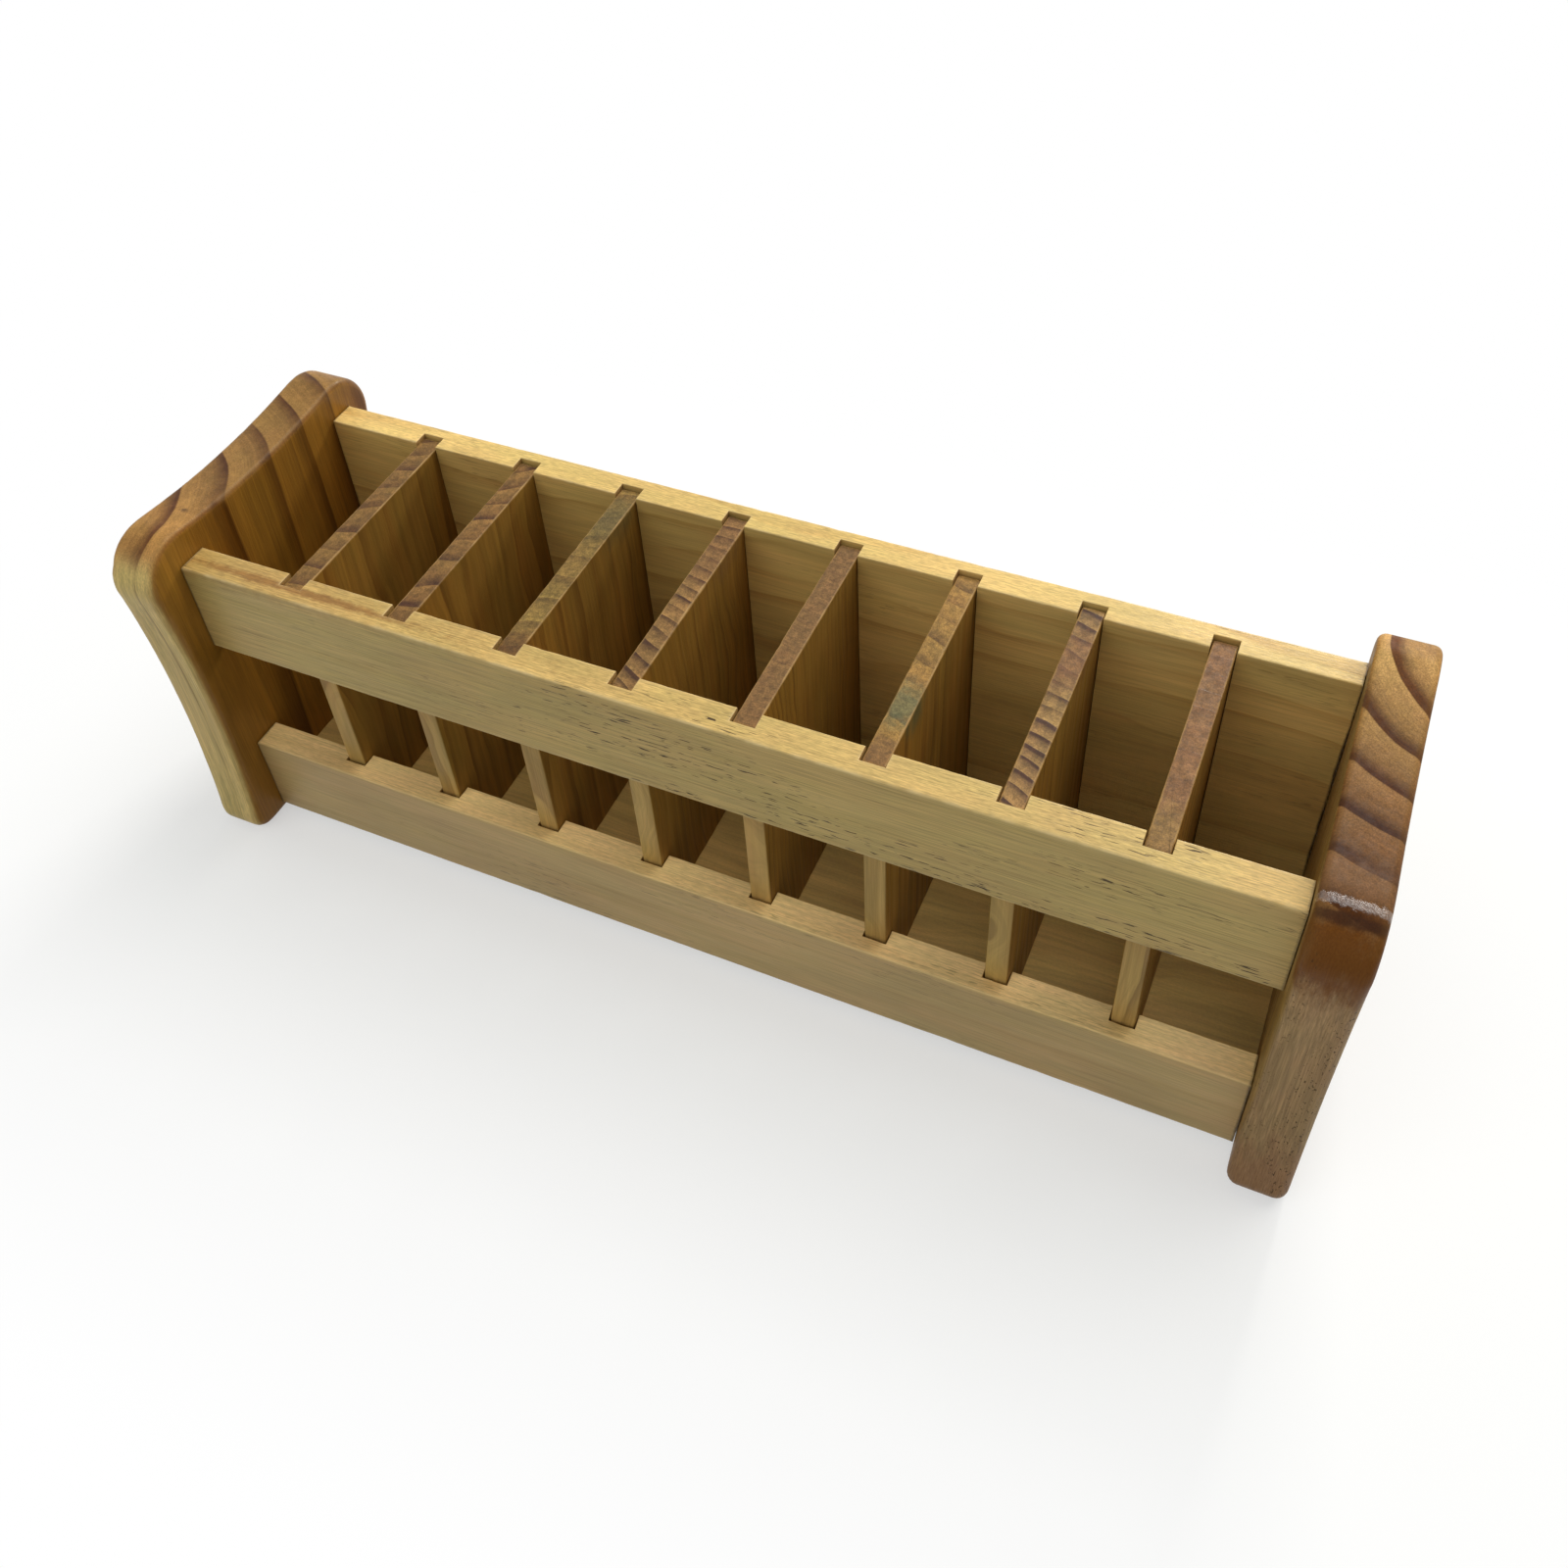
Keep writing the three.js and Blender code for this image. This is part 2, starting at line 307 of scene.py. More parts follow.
def end_outline(low, high):
    """Hollow sides and top, round corners and a flat foot, each point with its kind of side."""
    front, back, top = low.y, high.y, high.z
    big, small = END_TOP_RADIUS, END_FOOT_RADIUS
    side_tilt = math.asin(4 * END_SIDE_HOLLOW / (top - big - small))
    top_tilt = math.asin(4 * END_TOP_HOLLOW / (back - front - 2 * big))
    quarter = math.pi / 2
    bends = [
        (Vector((back - small, low.z + small)), small, -quarter, side_tilt, "foot", "back"),
        (Vector((back - big, top - big)), big, -side_tilt, quarter + top_tilt, "bend", "top"),
        (
            Vector((front + big, top - big)), big,
            quarter - top_tilt, math.pi + side_tilt, "bend", "front",
        ),
        (
            Vector((front + small, low.z + small)), small,
            math.pi - side_tilt, math.pi + quarter, "foot", "sole",
        ),
    ]

    def on(bend, angle):
        return bend[0] + bend[1] * Vector((math.cos(angle), math.sin(angle)))

    corners = []
    for index, bend in enumerate(bends):
        _, _, start, stop, kind, side = bend
        for part in range(CORNER_POINTS):
            angle = start + (stop - start) * part / CORNER_POINTS
            corners.append((on(bend, angle), kind))
        leave = on(bend, stop)
        if index == len(bends) - 1:
            corners.append((leave, side))
            break
        following = bends[index + 1]
        arrive = on(following, following[2])
        reach = (arrive - leave).length / 3
        first = leave + reach * Vector((-math.sin(stop), math.cos(stop)))
        second = arrive - reach * Vector((-math.sin(following[2]), math.cos(following[2])))
        for part in range(CURVE_POINTS):
            t = part / CURVE_POINTS
            u = 1 - t
            spot = u**3 * leave + 3 * u**2 * t * first + 3 * u * t**2 * second + t**3 * arrive
            corners.append((spot, side))
    return corners


END_EASES = {
    "foot": (3.6 * MM, 0.10),
    "back": (2.6 * MM, 0.10),
    "bend": (2.6 * MM, 0.10),
    "top": (2.2 * MM, 0.12),
    "front": (3.0 * MM, 0.08),
    "sole": (3.4 * MM, 0.10),
}
for seed, side in enumerate(("left", "right")):
    node = side + "_end_panel"
    low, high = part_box(node)
    panel = board(
        side + "_end", end_outline(low, high), sideways, low.x, high.x,
        END_EASES, END_MARGIN, END_STEP, END_SEED + NEXT_BOARD * seed,
    )
    pins = [name for name in dowel_names if name.startswith(side)]
    cut_joinery(panel, node, pins, with_base=True)
    stand_for(panel, node, "rack")

# The two front rails and the back panel, with the dividers' grooves
DIVIDER_COUNT = 8
GROOVE_DEPTH = 5.5 * MM
GROOVE_CLEARANCE = 0.3 * MM
RAIL_EASES = {
    "show": (0.75 * MM, 0.3),
    "inside": (0.45 * MM, 0.5),
    "groove": (0.28 * MM, 0.8),
    "end": (0.2 * MM, 0.0),
}
RAIL_MARGIN = 1.0 * MM
RAIL_STEP = 1.6 * MM
RAIL_SEED = 200
dividers = ["divider_%d" % (index + 1) for index in range(DIVIDER_COUNT)]
groove_spans = []
for name in dividers:
    low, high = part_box(name)
    groove_spans.append((low.x - GROOVE_CLEARANCE, high.x + GROOVE_CLEARANCE))


def grooved_outline(low, high, grooves_at_back):
    """A long board seen from above, its grooves on one long side."""
    side = high.y if grooves_at_back else low.y
    floor_of_groove = side - GROOVE_DEPTH if grooves_at_back else side + GROOVE_DEPTH
    run = []
    for start, stop in groove_spans:
        run += [(start, side), (start, floor_of_groove), (stop, floor_of_groove), (stop, side)]
    kinds = ["groove", "groove", "groove", "inside"] * len(groove_spans)
    if grooves_at_back:
        run.reverse()
        corners = [((low.x, low.y), "show"), ((high.x, low.y), "end"), ((high.x, high.y), "inside")]
        corners += list(zip(run, kinds)) + [((low.x, high.y), "end")]
    else:
        corners = [((low.x, low.y), "inside")] + list(zip(run, kinds))
        corners += [((high.x, low.y), "end"), ((high.x, high.y), "show"), ((low.x, high.y), "end")]
    return [(Vector(spot), kind) for spot, kind in corners]


for seed, (node, slot, row, at_back) in enumerate((
    ("front_upper_rail", "rail", "_upper_dowel_", True),
    ("front_lower_rail", "rail", "_lower_dowel_", True),
    ("back_panel", "back", "_back_dowel_", False),
)):
    low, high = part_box(node)
    plank = board(
        node + "_board", grooved_outline(low, high, at_back), upright, low.z, high.z,
        RAIL_EASES, RAIL_MARGIN, RAIL_STEP, RAIL_SEED + NEXT_BOARD * seed,
    )
    pins = [name for name in dowel_names if row in name]
    cut_joinery(plank, node, pins, with_base=node != "front_upper_rail")
    stand_for(plank, node, "rack")

# The base board
BASE_EASES = {"all": (0.4 * MM, 0.3)}
BASE_MARGIN = 1.0 * MM
BASE_STEP = 4 * MM
BASE_SEED = 300
low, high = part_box("base_board")
corners = ((low.x, low.y), (high.x, low.y), (high.x, high.y), (low.x, high.y))
sheet = board(
    "base_board_sheet", [(Vector(spot), "all") for spot in corners], upright, low.z, high.z,
    BASE_EASES, BASE_MARGIN, BASE_STEP, BASE_SEED,
)
stand_for(sheet, "base_board", "rack")

# The dividers, their saw-cut tops a little ragged
DIVIDER_CORNER = 0.7 * MM
DIVIDER_CORNER_POINTS = 4
DIVIDER_EASES = {"all": (0.45 * MM, 0.75)}
DIVIDER_MARGIN = 0.25 * MM
DIVIDER_STEP = 0.9 * MM
DIVIDER_SEED = 400


def divider_outline(low, high):
    """A divider seen from above, its four upright edges rounded."""
    radius, count = DIVIDER_CORNER, DIVIDER_CORNER_POINTS
    corners = []
    centres = (
        (low.x + radius, low.y + radius), (high.x - radius, low.y + radius),
        (high.x - radius, high.y - radius), (low.x + radius, high.y - radius),
    )
    for index, centre in enumerate(centres):
        for part in range(count + 1):
            angle = (index + 2 + part / count) * math.pi / 2
            edge = Vector((math.cos(angle), math.sin(angle)))
            corners.append((Vector(centre) + radius * edge, "all"))
    return corners


for seed, node in enumerate(dividers):
    low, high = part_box(node)
    leaf = board(
        node + "_leaf", divider_outline(low, high), upright, low.z, high.z,
        DIVIDER_EASES, DIVIDER_MARGIN, DIVIDER_STEP, DIVIDER_SEED + NEXT_BOARD * seed,
    )
    stand_for(leaf, node, node)


# Materials
def tint(red, green, blue):
    """A display colour out of 255 as the linear colour that a shader takes."""
    def linear(value):
        value /= 255
        return value / 12.92 if value <= 0.04045 else ((value + 0.055) / 1.055) ** 2.4
    return (linear(red), linear(green), linear(blue), 1.0)


# The colour sockets of a Mix node
COLOUR_A, COLOUR_B, COLOUR_MIXED = 6, 7, 2


class Recipe:
    """A material's node tree, built one step at a time. Each step gives back its output."""

    def __init__(self, name):
        self.material = bpy.data.materials.new(name)
        self.material.use_nodes = True
        self.tree = self.material.node_tree
        self.shader = self.tree.nodes["Principled BSDF"]

    def node(self, kind, inputs=(), **settings):
        """A node with its inputs fed and its settings made."""
        made = self.tree.nodes.new("ShaderNode" + kind)
        for key, value in settings.items():
            setattr(made, key, value)
        for key, value in dict(inputs).items():
            self.feed(made.inputs[key], value)
        return made

    def feed(self, socket, value):
        """Links an output to a socket, or sets the socket to a constant."""
        if isinstance(value, bpy.types.NodeSocket):
            self.tree.links.new(value, socket)
        else:
            socket.default_value = value

    def math(self, operation, a, b=0.0, clamp=False):
        return self.node("Math", {0: a, 1: b}, operation=operation, use_clamp=clamp).outputs[0]

    def vector(self, operation, a, b=(0.0, 0.0, 0.0)):
        made = self.node("VectorMath", {0: a, 1: b}, operation=operation)
        return made.outputs["Value" if operation in ("LENGTH", "DOT_PRODUCT") else "Vector"]

    def noise(self, vector, scale, detail=3.0, roughness=0.55):
        """Noise from 0 to 1, its coordinates stretched by three factors."""
        stretched = self.vector("MULTIPLY", vector, scale)
        inputs = {"Vector": stretched, "Scale": 1.0, "Detail": detail, "Roughness": roughness}
        return self.node("TexNoise", inputs).outputs["Fac"]

    def step(self, value, low, high, to_low=0.0, to_high=1.0):
        """A soft step between two values."""
        inputs = {
            "Value": value, "From Min": low, "From Max": high, "To Min": to_low, "To Max": to_high,
        }
        return self.node("MapRange", inputs, interpolation_type="SMOOTHSTEP").outputs["Result"]

    def ramp(self, value, stops):
        """A grey ramp through its stops, each a place and a level."""
        made = self.node("ValToRGB", {"Fac": value})
        elements = made.color_ramp.elements
        while len(elements) < len(stops):
            elements.new(0.5)
        for element, (place, level) in zip(elements, stops):
            element.position = place
            element.color = (level, level, level, 1.0)
        return made.outputs["Color"]

    def mix(self, factor, a, b, blend="MIX"):
        made = self.node("Mix", (), data_type="RGBA", blend_type=blend)
        self.feed(made.inputs["Factor"], factor)
        self.feed(made.inputs[COLOUR_A], a)
        self.feed(made.inputs[COLOUR_B], b)
        return made.outputs[COLOUR_MIXED]


# One growth ring, from its pale early wood to its dark late wood
RING_PROFILE = ((0.0, 0.0), (0.30, 0.04), (0.62, 0.22), (0.84, 0.75), (0.95, 1.0), (0.985, 0.0))

# How a board's pine may differ. Lengths and places are in millimetres. A grain says how fast a
# noise changes in a millimetre, along the log and then across it.
PINE = {
    # Growth rings: how far they wander and how fast, how uneven they are, where the first begins,
    # and where along the log the board was cut
    "wander": 5.0,
    "waver": 0.007,
    "uneven": 1.0,
    "phase": 0.0,
    "seed": 0.0,
    # How strongly the rings show: on the sides, on the front face, and on end grain
    "ring": 0.5,
    "front_thin": 1.0,
    "end_ring": 0.9,
    "end_wide": 1.0,
    # Fine lines beside the rings, fibres, streaks, blotches, amber patches and a drift of colour
    "layers": 6.0,
    "layered": (0.86, 1.10),
    "fibre": 1.0,
    "streak": 0.5,
    "blotch": 0.4,
    "warm": 0.0,
    "drift": ((0.98, 1.005, 0.98, 1.0), (1.02, 0.99, 1.0, 1.0)),
    # Pores: strength, how much of the board has none, their grain, and where along X they begin
    "pores": 0.0,
    "pore_spread": 0.5,
    "pore_grain": (0.13, 1.7, 1.7),
    "pores_from": None,
    # Cut fibres: their grain, their strength on faces that look up and on end grain, and how
    # unevenly end grain takes the varnish
    "speckle": (1.0, 2.3, 2.3),
    "cut": 0.8,
    "end_cut": 0.8,
    "mottle": 0.3,
    # Colour factors: for faces by axis and sign, painted light and shade with some tone shifted too,
    # and for end grain between two places along Y
    "faces": (),
    "tones": (),
    # Stains, knots, darkened places and painted shade in gaps: colour, centre, reach and strength
    "marks": (),
    # Worn arrises, also a painted highlight along them: their colour, or else that of the early wood,
    # and the range of their strength
    "worn": None,
    "wear": (0.05, 0.4),
    # Varnish: its coat, its gloss, and a thicker streak of it by centre and reach
    "roughness": 0.46,
    "gloss": 0.25,
    "coat": 0.2,
    "coat_ior": 1.5,
    "glaze": None,
}
AMBER = tint(150, 92, 34)
PORE_BROWN = tint(66, 46, 14)

# How fast each noise changes in a millimetre: along the log, then across it
BEND_ACROSS = 0.018
UNEVEN_GRAIN = (0.0, 0.03, 0.03)
FAINT_GRAIN = (0.015, 0.06, 0.06)
LAYER_GRAIN = (0.006, 0.03, 0.03)
FIBRE_GRAIN = (0.035, 2.2, 2.2)
STREAK_GRAIN = (0.012, 0.36, 0.36)
BLOTCH_GRAIN = (0.014, 0.035, 0.035)
AMBER_GRAIN = (0.008, 0.13, 0.13)
DRIFT_GRAIN = (0.025, 0.07, 0.07)
MOTTLE_GRAIN = (0.1, 0.5, 0.5)
PORE_WAVE_GRAIN = (0.09, 0.02, 0.02)
PORE_CLUSTER_GRAIN = (0.010, 0.05, 0.05)

# The same along X, Y and Z, for what doesn't follow the log
MARK_GRAIN = (0.25, 0.25, 0.08)
WEAR_AND_HIGHLIGHT_GRAIN = (0.12, 0.12, 0.12)
SKIN_GRAIN = (1.2, 1.2, 1.2)
GLAZE_GRAIN = (0.5, 0.9, 0.9)

# Where the steps between two looks begin and end, and how far the looks go
WEAKEST_RING = 0.35
FACING_AWAY, FACING = 0.5, 0.9
END_GRAIN_FROM, END_GRAIN_FULL = 0.45, 0.9
ARRIS_SHARE = 0.35
FIBRE_SHADES, STREAK_SHADES, BLOTCH_SHADES = (0.10, 0.06), (0.26, 0.10), (0.30, 0.14)
MARK_OUTER, MARK_INNER, MARK_RAGGED = 1.15, 0.35, 1.4
MARK_SHADES = (0.94, 1.03)
MOTTLE_SHADES = (0.72, 1.2)
PORE_FROM, PORE_FULL = 0.63, 0.685
PORE_WAVE = 1.3
PORE_CLUSTER_EDGE = 0.12
PORES_BEFORE = 0.15
SPECKLE_SHADES = (0.70, 1.20)
UPWARD_FROM, UPWARD_FULL = 0.6, 0.95

# Varnish and relief
ROUGHER, SMOOTHER, ROUGHER_ENDS = 0.08, 0.05, 0.08
GLAZE_OUTER, GLAZE_INNER, GLAZE_RAGGED = 1.25, 0.65, 2.6
COAT_ROUGHNESS = 0.16
FIBRE_RELIEF, RING_RELIEF, SKIN_RELIEF, GLAZE_RELIEF = 0.5, 0.35, 0.7, 6.0
BUMP_STRENGTH = 0.55
BUMP_DISTANCE = 0.12 * MM


class Pine(Recipe):
    """Pine cut from a log whose axis runs along X or Z. The pith's place across the axis is in
    millimetres. The pattern fills the board, so its faces, edges and end grain belong together."""

    def __init__(self, name, along, pith, look):
        super().__init__(name)
        self.look = look
        place = self.node("TexCoord")
        self.millimetres = self.vector("MULTIPLY", place.outputs["Object"], (1 / MM,) * 3)
        self.parts = self.node("SeparateXYZ", {0: self.millimetres}).outputs
        self.facing = self.node("SeparateXYZ", {0: place.outputs["Normal"]}).outputs
        self.axis, self.across = (0, (1, 2)) if along == "X" else (2, (0, 1))
        order = (self.axis, *self.across)
        log = self.node("CombineXYZ", {spot: self.parts[part] for spot, part in enumerate(order)})
        self.log = self.vector("SUBTRACT", log.outputs[0], (look["seed"], *pith))

    def grow_rings(self, spacing):
        """Growth rings, wandering along the log and uneven in width and strength."""
        look, log = self.look, self.log
        slowly = self.vector("MULTIPLY", log, (look["waver"], BEND_ACROSS, BEND_ACROSS))
        inputs = {"Vector": slowly, "Scale": 1.0, "Detail": 3.0}
        bend = self.node("TexNoise", inputs).outputs["Color"]
        bend = self.vector("SUBTRACT", bend, (0.5, 0.5, 0.5))
        bend = self.vector("MULTIPLY", bend, (0.0, 2 * look["wander"], 2 * look["wander"]))
        bent = self.vector("ADD", self.vector("MULTIPLY", log, (0.0, 1.0, 1.0)), bend)
        turns = self.math("DIVIDE", self.vector("LENGTH", bent), spacing)
        uneven = self.math("SUBTRACT", self.noise(log, UNEVEN_GRAIN, 1.0), 0.5)
        uneven = self.math("ADD", self.math("MULTIPLY", uneven, look["uneven"]), look["phase"])
        self.turns = self.math("ADD", turns, uneven)
        rings = self.ramp(self.math("FRACT", self.turns), RING_PROFILE)
        year = self.math("FLOOR", self.turns)
        strength = self.node("TexWhiteNoise", {"W": year}, noise_dimensions="1D").outputs["Value"]
        weakest = 1 - (1 - WEAKEST_RING) * min(1.0, look["uneven"])
        strength = self.math("ADD", self.math("MULTIPLY", strength, 1 - weakest), weakest)
        faint = self.step(self.noise(log, FAINT_GRAIN, 2.0), 0.35, 0.6, weakest, 1.0)
        self.rings = self.math("MULTIPLY", rings, self.math("MULTIPLY", strength, faint))

    def grow_grain(self):
        """Fine lines beside the rings, fine fibres, broader streaks and blotches of colour."""
        layer = self.math("MULTIPLY", self.turns, self.look["layers"])
        layer = self.node("CombineXYZ", {0: layer}).outputs[0]
        layer = self.vector("ADD", layer, self.vector("MULTIPLY", self.log, LAYER_GRAIN))
        self.layers = self.noise(layer, (1.0, 1.0, 1.0), 3.0, 0.6)
        self.fibres = self.noise(self.log, FIBRE_GRAIN, 4.0, 0.65)
        self.streaks = self.noise(self.log, STREAK_GRAIN, 4.0, 0.62)
        self.blotches = self.noise(self.log, BLOTCH_GRAIN, 3.0, 0.55)

    def side_colour(self, early, late):
        """Early and late wood on the sides of the board, with amber patches."""
        look, rings = self.look, self.rings
        if look["front_thin"] != 1.0:
            front = self.step(self.math("MULTIPLY", self.facing[1], -1.0), FACING_AWAY, FACING)
            rings = self.mix(front, rings, self.math("POWER", rings, look["front_thin"]))
        side = self.mix(self.math("MULTIPLY", rings, look["ring"], clamp=True), early, late)
        if look["warm"]:
            amber = self.noise(self.log, AMBER_GRAIN, 3.0, 0.6)
            amber = self.step(amber, 0.46, 0.68, 0.0, look["warm"])
            side = self.mix(amber, side, AMBER)
        return side

    def end_colour(self, early, late):
        """Early and late wood on end grain, which may change tone along Y."""
        look, rings = self.look, self.rings
        if look["end_wide"] != 1.0:
            rings = self.math("POWER", rings, look["end_wide"])
        end = self.mix(self.math("MULTIPLY", rings, look["end_ring"], clamp=True), early, late)
        for begin, full, at_begin, at_full in look["tones"]:
            along_y = self.step(self.parts[1], begin, full)
            tone = self.mix(along_y, (*at_begin, 1.0), (*at_full, 1.0))
            end = self.mix(1.0, end, tone, "MULTIPLY")
        return end

    def colour_wood(self, side, end):
        """End grain where the surface looks along the log, a little further at the arrises."""
        turned = self.math("ABSOLUTE", self.facing[self.across[0]])
        arris = self.math("MULTIPLY", turned, ARRIS_SHARE)
        endways = self.math("ADD", self.math("ABSOLUTE", self.facing[self.axis]), arris)
        self.ended = self.step(endways, END_GRAIN_FROM, END_GRAIN_FULL)
        self.colour = self.mix(self.ended, side, end)

    def paint_light_by_facing(self):
        """Painted light and shade: faces made darker or lighter by the way they look, as the lamps
        would make them, some with their tone shifted too.
        """
        for turned, sign, factor in self.look["faces"]:
            towards = self.math("MULTIPLY", self.facing[turned], sign)
            towards = self.step(towards, FACING_AWAY, FACING)
            painted_face = self.mix(1.0, self.colour, (*factor, 1.0), "MULTIPLY")
            self.colour = self.mix(towards, self.colour, painted_face)

    def shade_by(self, value, dark, light):
        """Makes the colour darker where a noise is low and lighter where it is high."""
        level = self.step(value, 0.3, 0.7, dark, light)
        self.colour = self.mix(1.0, self.colour, level, "MULTIPLY")

    def shade_grain(self):
        """The grain's lights and darks, and a slow drift of the colour."""
        look = self.look
        self.shade_by(self.layers, *look["layered"])
        for value, share, (darker, lighter) in (
            (self.fibres, look["fibre"], FIBRE_SHADES),
            (self.streaks, look["streak"], STREAK_SHADES),
            (self.blotches, look["blotch"], BLOTCH_SHADES),
        ):
            self.shade_by(value, 1 - darker * share, 1 + lighter * share)
        drift = self.step(self.noise(self.log, DRIFT_GRAIN, 3.0, 0.6), 0.35, 0.65)
        self.colour = self.mix(1.0, self.colour, self.mix(drift, *look["drift"]), "MULTIPLY")

    def distance_from(self, centre, reach, grain, ragged):
        """How far a point lies from a place, counted in that place's reach, its edge ragged."""
        away = self.vector("DIVIDE", self.vector("SUBTRACT", self.millimetres, centre), reach)
        edge = self.math("SUBTRACT", self.noise(self.millimetres, grain, 4.0, 0.7), 0.5)
        return self.math("ADD", self.vector("LENGTH", away), self.math("MULTIPLY", edge, ragged))

    def add_marks(self):
        """Stains, knots, darkened places and painted shade in the gaps between boards, each a soft
        ragged ellipsoid.
        """
        for mark, centre, reach, strength in self.look["marks"]:
            distance = self.distance_from(centre, reach, MARK_GRAIN, MARK_RAGGED)
            mask = self.step(distance, MARK_OUTER, MARK_INNER, 0.0, strength)
            self.colour = self.mix(mask, self.colour, mark)
            self.shade_by(self.fibres, *MARK_SHADES)

    def mottle_ends(self):
        """End grain takes the varnish unevenly."""
        mottle = self.noise(self.log, MOTTLE_GRAIN, 4.0, 0.65)
        mottle = self.step(mottle, 0.35, 0.65, *MOTTLE_SHADES)
        mottled = self.mix(1.0, self.colour, mottle, "MULTIPLY")
        share = self.math("MULTIPLY", self.ended, self.look["mottle"])
        self.colour = self.mix(share, self.colour, mottled)

    def add_pores(self):
        """Short dark dashes along the grain, in clusters. Gives back where they are."""
        look, log = self.look, self.log
        if not look["pores"]:
            return 0.0
        wave = self.math("MULTIPLY", self.noise(log, PORE_WAVE_GRAIN, 2.0), PORE_WAVE)
        waved = self.vector("ADD", log, self.node("CombineXYZ", {1: wave, 2: wave}).outputs[0])
        dashes = self.step(self.noise(waved, look["pore_grain"], 1.0), PORE_FROM, PORE_FULL)
        spread = look["pore_spread"]
        cluster = self.noise(log, PORE_CLUSTER_GRAIN, 2.0)
        cluster = self.step(cluster, spread, spread + PORE_CLUSTER_EDGE)
        pores = self.math("MULTIPLY", dashes, self.math("MULTIPLY", cluster, look["pores"]))
        pores = self.math("MULTIPLY", pores, self.math("SUBTRACT", 1.0, self.ended))
        if look["pores_from"]:
            along_x = self.step(self.parts[0], *look["pores_from"], PORES_BEFORE, 1.0)
            pores = self.math("MULTIPLY", pores, along_x)
        self.colour = self.mix(pores, self.colour, PORE_BROWN)
        return pores

    def speckle_cuts(self):
        """Cut fibres: a fine speckle on end grain and on sawn edges that face up."""
        speckle = self.noise(self.log, self.look["speckle"], 2.0, 0.6)
        speckle = self.step(speckle, 0.34, 0.66, *SPECKLE_SHADES)
        speckled = self.mix(1.0, self.colour, speckle, "MULTIPLY")
        upward = self.step(self.facing[2], UPWARD_FROM, UPWARD_FULL, 0.0, self.look["cut"])
        on_ends = self.math("MULTIPLY", self.ended, self.look["end_cut"])
        self.colour = self.mix(self.math("MAXIMUM", on_ends, upward), self.colour, speckled)

    def wear_and_highlight_arrises(self, arris_colour):
        """Varnish worn off along the arrises, which also paints a highlight along them."""
        wear = self.node("Attribute", (), attribute_name="wear").outputs["Fac"]
        patchy = self.noise(self.millimetres, WEAR_AND_HIGHLIGHT_GRAIN, 3.0)
        patchy = self.step(patchy, 0.35, 0.65, *self.look["wear"])
        self.colour = self.mix(self.math("MULTIPLY", wear, patchy), self.colour, arris_colour)

    def varnish(self, pores):
        """A thin coat, in one place thicker, over slightly raised grain. End grain is duller."""
        look, inputs = self.look, self.shader.inputs
        self.feed(inputs["Base Color"], self.colour)
        most, least = look["roughness"] + ROUGHER, look["roughness"] - SMOOTHER
        rough = self.step(self.streaks, 0.3, 0.7, most, least)
        rough = self.math("ADD", rough, self.math("MULTIPLY", self.ended, ROUGHER_ENDS))
        self.feed(inputs["Roughness"], rough)
        skin = self.math("MULTIPLY", self.noise(self.millimetres, SKIN_GRAIN, 3.0), SKIN_RELIEF)
        coat = look["coat"]
        if look["glaze"]:
            distance = self.distance_from(*look["glaze"], GLAZE_GRAIN, GLAZE_RAGGED)
            glazed = self.step(distance, GLAZE_OUTER, GLAZE_INNER)
            coat = self.math("MAXIMUM", glazed, coat)
            raised = self.math("ADD", self.math("MULTIPLY", glazed, GLAZE_RELIEF), 1.0)
            skin = self.math("MULTIPLY", skin, raised)
        self.feed(inputs["Coat Weight"], coat)
        self.feed(inputs["Coat Roughness"], COAT_ROUGHNESS)
        self.feed(inputs["Coat IOR"], look["coat_ior"])
        self.feed(inputs["Specular IOR Level"], look["gloss"])
        relief = self.math("MULTIPLY", self.fibres, FIBRE_RELIEF)
        relief = self.math("ADD", relief, self.math("MULTIPLY", self.rings, RING_RELIEF))
        relief = self.math("ADD", relief, skin)
        relief = self.math("SUBTRACT", relief, pores)
        height = {"Height": relief, "Strength": BUMP_STRENGTH, "Distance": BUMP_DISTANCE}
        bump = self.node("Bump", height).outputs["Normal"]
        self.feed(inputs["Normal"], bump)
        self.feed(inputs["Coat Normal"], bump)


def pine(name, along, pith, spacing, early, late, end_early, end_late, **changes):
    """A board's material: its log, the spacing of its rings in millimetres, its colours on the
    sides and on end grain, and what else differs from PINE."""
    wood = Pine(name, along, pith, {**PINE, **changes})
    wood.grow_rings(spacing)
    wood.grow_grain()
    wood.colour_wood(wood.side_colour(early, late), wood.end_colour(end_early, end_late))
    wood.paint_light_by_facing()
    wood.shade_grain()
    wood.add_marks()
    wood.mottle_ends()
    pores = wood.add_pores()
    wood.speckle_cuts()
    wood.wear_and_highlight_arrises(wood.look["worn"] or early)
    wood.varnish(pores)
    return wood.material


# Early and late wood on the sides, then on end grain
RAIL_COLOURS = (tint(218, 184, 112), tint(172, 130, 64), tint(186, 148, 88), tint(140, 98, 52))
BACK_COLOURS = (tint(216, 180, 108), tint(172, 126, 60), tint(180, 140, 82), tint(134, 92, 48))
DIVIDER_SIDES = (tint(162, 121, 52), tint(96, 60, 20))
# Colour of worn arrises, also a painted highlight along them
BARE_PINE_AND_HIGHLIGHT = tint(236, 208, 150)
# Painted shade for the gaps where boards meet the end panels
GAP_SHADE = tint(44, 26, 12)
GAP_SHADE_REACH = (1.1, 60, 90)
COARSE_SPECKLE = (0.3, 2.0, 2.0)


def gap_shade_line(x, y, z, strength):
    """Painted shade: the dark line of shadow in the gap where a board's end meets an end panel."""
    return (GAP_SHADE, (x, y, z), GAP_SHADE_REACH, strength)


